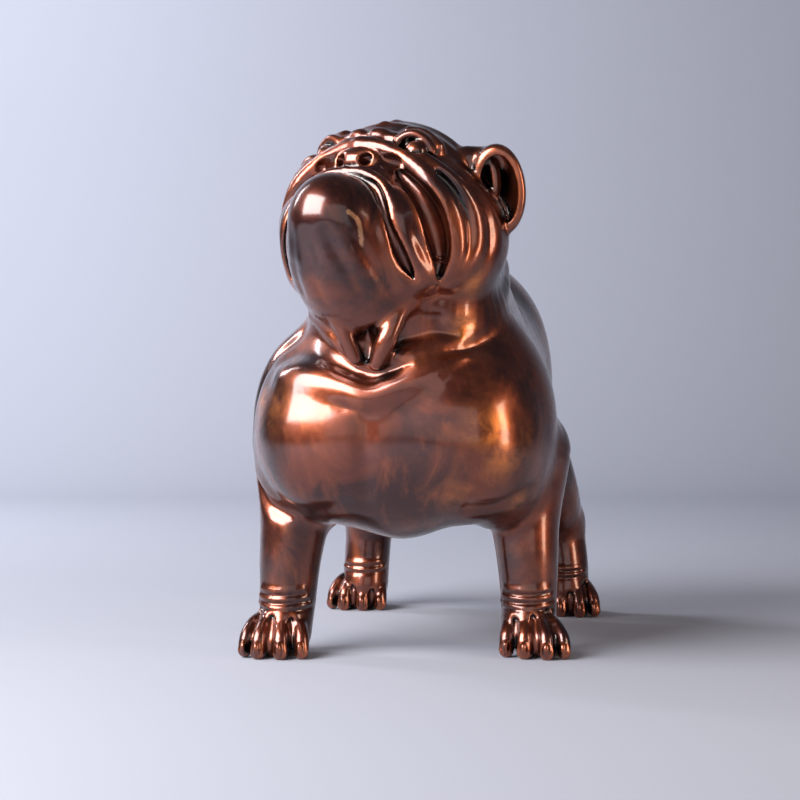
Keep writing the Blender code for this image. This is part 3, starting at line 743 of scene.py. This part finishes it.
# Colours of the bronze, from the plain skin to what is rubbed or run over it. The sooty dark also stands for
# painted shade in the hollows, and the orange for a painted warm highlight on the worn places
BROWN = (0.180, 0.038, 0.016, 1)
UMBER = (0.045, 0.010, 0.008, 1)
SOOT_AND_SHADE = (0.008, 0.003, 0.003, 1)
COPPER = (0.40, 0.095, 0.030, 1)
ORANGE = (0.80, 0.25, 0.060, 1)
TAN = (0.62, 0.30, 0.16, 1)
METALLIC = 0.92
SMOOTHEST = 0.31
ROUGHEST = 0.42
LACQUER = {"Coat Weight": 0.85, "Coat Roughness": 0.15, "Coat IOR": 1.62}
RIPPLE_STRENGTH = 0.25
RIPPLE_DEPTH = 0.0006

# Sockets of a mix node that is set to colours
COLOUR_A = 6
COLOUR_B = 7
COLOUR_OUT = 2


class Nodes:
    """Adds nodes to a material and joins them up."""

    def __init__(self, name):
        self.material = bpy.data.materials.new(name)
        self.material.use_nodes = True
        self.tree = self.material.node_tree
        self.surface = self.tree.nodes["Principled BSDF"]
        self.place = self.tree.nodes.new("ShaderNodeTexCoord").outputs["Object"]

    def put(self, socket, value):
        if isinstance(value, bpy.types.NodeSocket):
            self.tree.links.new(value, socket)
        else:
            socket.default_value = value

    def noise(self, scale, detail=4.0, rough=0.55, warp=0.0, stretch=(1, 1, 1)):
        node = self.tree.nodes.new("ShaderNodeTexNoise")
        mapping = self.tree.nodes.new("ShaderNodeMapping")
        mapping.inputs["Scale"].default_value = stretch
        self.put(mapping.inputs["Vector"], self.place)
        self.put(node.inputs["Vector"], mapping.outputs["Vector"])
        self.put(node.inputs["Scale"], scale)
        self.put(node.inputs["Detail"], detail)
        self.put(node.inputs["Roughness"], rough)
        self.put(node.inputs["Distortion"], warp)
        return node.outputs["Fac"]

    def ramp(self, value, low, high, out_low=0.0, out_high=1.0):
        node = self.tree.nodes.new("ShaderNodeMapRange")
        node.interpolation_type = "SMOOTHSTEP"
        for name, number in (("Value", value), ("From Min", low), ("From Max", high),
                             ("To Min", out_low), ("To Max", out_high)):
            self.put(node.inputs[name], number)
        return node.outputs["Result"]

    def combine(self, kind, a, b):
        node = self.tree.nodes.new("ShaderNodeMath")
        node.operation = kind
        self.put(node.inputs[0], a)
        self.put(node.inputs[1], b)
        return node.outputs[0]

    def mix(self, share, under, over):
        node = self.tree.nodes.new("ShaderNodeMix")
        node.data_type = "RGBA"
        self.put(node.inputs[0], share)
        self.put(node.inputs[COLOUR_A], under)
        self.put(node.inputs[COLOUR_B], over)
        return node.outputs[COLOUR_OUT]

    def mark(self, name):
        node = self.tree.nodes.new("ShaderNodeAttribute")
        node.attribute_name = name
        return node.outputs["Fac"]


def lacquered_bronze():
    """Brown bronze under clear lacquer: clouded, rubbed bright on its ridges, sooty in its hollows. The
    hollows also carry painted shade, and the worn places a painted warm highlight.
    """
    nodes = Nodes("lacquered_bronze")
    clouds = nodes.ramp(nodes.noise(9.0, 5.0, 0.6, 0.6), 0.36, 0.62)
    drifts = nodes.ramp(nodes.noise(21.0, 6.0, 0.62, 0.8, (1, 1, 0.5)), 0.46, 0.74)
    mottle = nodes.ramp(nodes.noise(85.0, 5.0, 0.6), 0.35, 0.75)
    colour = nodes.mix(clouds, BROWN, UMBER)
    colour = nodes.mix(nodes.combine("MULTIPLY", drifts, 0.6), colour, COPPER)
    colour = nodes.mix(nodes.combine("MULTIPLY", mottle, 0.12), colour, UMBER)
    rubbed = nodes.ramp(nodes.mark("ridge"), 0.08, 0.50)
    rubbed = nodes.combine("MULTIPLY", rubbed, nodes.ramp(nodes.noise(34.0, 4.0), 0.30, 0.60, 0.2, 0.85))
    colour = nodes.mix(rubbed, colour, COPPER)
    # Orange on the worn places: partly rubbed metal, partly a painted warm highlight
    wear_and_sheen = nodes.ramp(nodes.noise(48.0, 5.0, 0.6, 0.6), 0.36, 0.66, 0.15, 1.0)
    colour = nodes.mix(nodes.combine("MULTIPLY", nodes.mark("wear_and_sheen"), wear_and_sheen), colour, ORANGE)
    # Sooty dark in the hollows: partly dark patina, partly painted shade
    soot_and_shade = nodes.ramp(nodes.mark("hollow"), 0.36, 1.0)
    colour = nodes.mix(soot_and_shade, colour, SOOT_AND_SHADE)
    colour = nodes.mix(nodes.ramp(nodes.mark("drip"), 0.35, 0.75, 0.0, 0.8), colour, TAN)
    pits = nodes.ramp(nodes.noise(420.0, 2.0), 0.70, 0.76)
    colour = nodes.mix(nodes.combine("MULTIPLY", pits, 0.4), colour, SOOT_AND_SHADE)
    nodes.put(nodes.surface.inputs["Base Color"], colour)
    nodes.put(nodes.surface.inputs["Metallic"], METALLIC)
    nodes.put(nodes.surface.inputs["Roughness"], nodes.ramp(mottle, 0.0, 1.0, SMOOTHEST, ROUGHEST))
    for socket, amount in LACQUER.items():
        nodes.put(nodes.surface.inputs[socket], amount)
    bump = nodes.tree.nodes.new("ShaderNodeBump")
    bump.inputs["Strength"].default_value = RIPPLE_STRENGTH
    bump.inputs["Distance"].default_value = RIPPLE_DEPTH
    ripple = nodes.combine("ADD", nodes.noise(60.0, 3.0), nodes.combine("MULTIPLY", pits, -0.5))
    nodes.put(bump.inputs["Height"], ripple)
    nodes.put(nodes.surface.inputs["Normal"], bump.outputs["Normal"])
    return nodes.material


# Studio

# The camera, in metres from the figure's standing point, in millimetres of lens, and its fall in degrees
CAMERA_TURN = math.radians(13)
CAMERA_PLACE = (-0.042, -2.165, 0.321)
LENS = 90
SENSOR = 36
CAMERA_FALL = 1.72

# The paper: where it begins, where it starts to rise, how it curves, its height, its half width
PAPER_FRONT = -4.5
PAPER_NEAR = -1.0
PAPER_RISE = 1.9
PAPER_CURVE = 0.9
PAPER_TOP = 4.5
PAPER_HALF = 6.0
PAPER_STEPS = 16
PAPER_GAP = 0.0005
PAPER_COLOUR = (0.36, 0.37, 0.43, 1)

# Softboxes: name, place, what it points at, width, height, watts, colour
SOFTBOXES = [
    ("window_left", (-1.30, -0.95, 1.12), (0.0, 0.0, 0.35), 1.45, 1.15, 80, (1.0, 1.0, 1.0)),
    ("wall_wash", (-1.7, 0.9, 1.5), (-0.3, 2.8, 0.8), 1.0, 1.0, 72, (0.93, 0.95, 1.0)),
    ("strip_right", (1.25, -0.75, 0.50), (0.1, 0, 0.3), 0.30, 0.9, 8, (1.0, 0.80, 0.60)),
    ("wash_front", (-0.3, -3.0, 1.02), (-0.3, 0.0, 1.02), 3.6, 2.0, 20, (0.95, 0.97, 1.0)),
]
AIR_COLOUR = (0.90, 0.88, 1.0, 1)
AIR_STRENGTH = 0.10

AHEAD = Vector((-math.sin(CAMERA_TURN), math.cos(CAMERA_TURN), 0))
ASIDE = Vector((math.cos(CAMERA_TURN), math.sin(CAMERA_TURN), 0))
UP = Vector((0, 0, 1))


def studio_place(right, back, up, middle):
    """A place counted from the figure's standing point: to the picture's right, away from the camera,
    and up."""
    return ASIDE * right + AHEAD * back + UP * up - Vector(middle)


def paper_sweep(middle):
    """Pale paper that lies under the figure and curves up well behind it."""
    profile = [(PAPER_FRONT, 0.0), (PAPER_NEAR, 0.0), (PAPER_RISE, 0.0)]
    for i in range(1, PAPER_STEPS + 1):
        turn = math.radians(90 * i / PAPER_STEPS)
        profile.append((PAPER_RISE + PAPER_CURVE * math.sin(turn),
                        PAPER_CURVE - PAPER_CURVE * math.cos(turn)))
    profile.append((PAPER_RISE + PAPER_CURVE, PAPER_TOP))
    points = [studio_place(right, back, up, middle)
              for back, up in profile for right in (-PAPER_HALF, PAPER_HALF)]
    points = [(p.x, p.y, p.z - PAPER_GAP) for p in points]
    faces = [(2 * i, 2 * i + 1, 2 * i + 3, 2 * i + 2) for i in range(len(profile) - 1)]
    paper = mesh_object("paper_sweep", points, faces)
    paper.data.shade_smooth()
    material = bpy.data.materials.new("pale_paper")
    material.use_nodes = True
    surface = material.node_tree.nodes["Principled BSDF"]
    surface.inputs["Base Color"].default_value = PAPER_COLOUR
    surface.inputs["Roughness"].default_value = 0.85
    surface.inputs["Specular IOR Level"].default_value = 0.25
    paper.data.materials.append(material)


def softbox(name, at, towards, width, height, power, colour, middle):
    data = bpy.data.lights.new(name, "AREA")
    data.shape = "RECTANGLE"
    data.size = width
    data.size_y = height
    data.energy = power
    data.color = colour
    lamp = bpy.data.objects.new(name, data)
    bpy.context.scene.collection.objects.link(lamp)
    place = studio_place(*at, middle)
    lamp.location = place
    lamp.rotation_euler = (studio_place(*towards, middle) - place).to_track_quat("-Z", "Y").to_euler()


def studio(middle):
    paper_sweep(middle)
    for box in SOFTBOXES:
        softbox(*box, middle)
    world = bpy.data.worlds.new("studio_air")
    world.use_nodes = True
    air = world.node_tree.nodes["Background"]
    air.inputs["Color"].default_value = AIR_COLOUR
    air.inputs["Strength"].default_value = AIR_STRENGTH
    bpy.context.scene.world = world
    bpy.context.scene.view_settings.view_transform = "Standard"


def camera(middle):
    data = bpy.data.cameras.new("camera")
    data.sensor_width = SENSOR
    data.lens = LENS
    view = bpy.data.objects.new("camera", data)
    bpy.context.scene.collection.objects.link(view)
    view.location = studio_place(*CAMERA_PLACE, middle)
    view.rotation_euler = (math.radians(90 - CAMERA_FALL), 0, CAMERA_TURN)
    bpy.context.scene.camera = view


# Scene

def main():
    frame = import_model()
    statue, middle = cast_statue()
    statue.data.materials.append(lacquered_bronze())
    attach(statue, "root")
    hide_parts("bulldog")
    studio(middle)
    camera(middle)
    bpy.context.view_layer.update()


main()
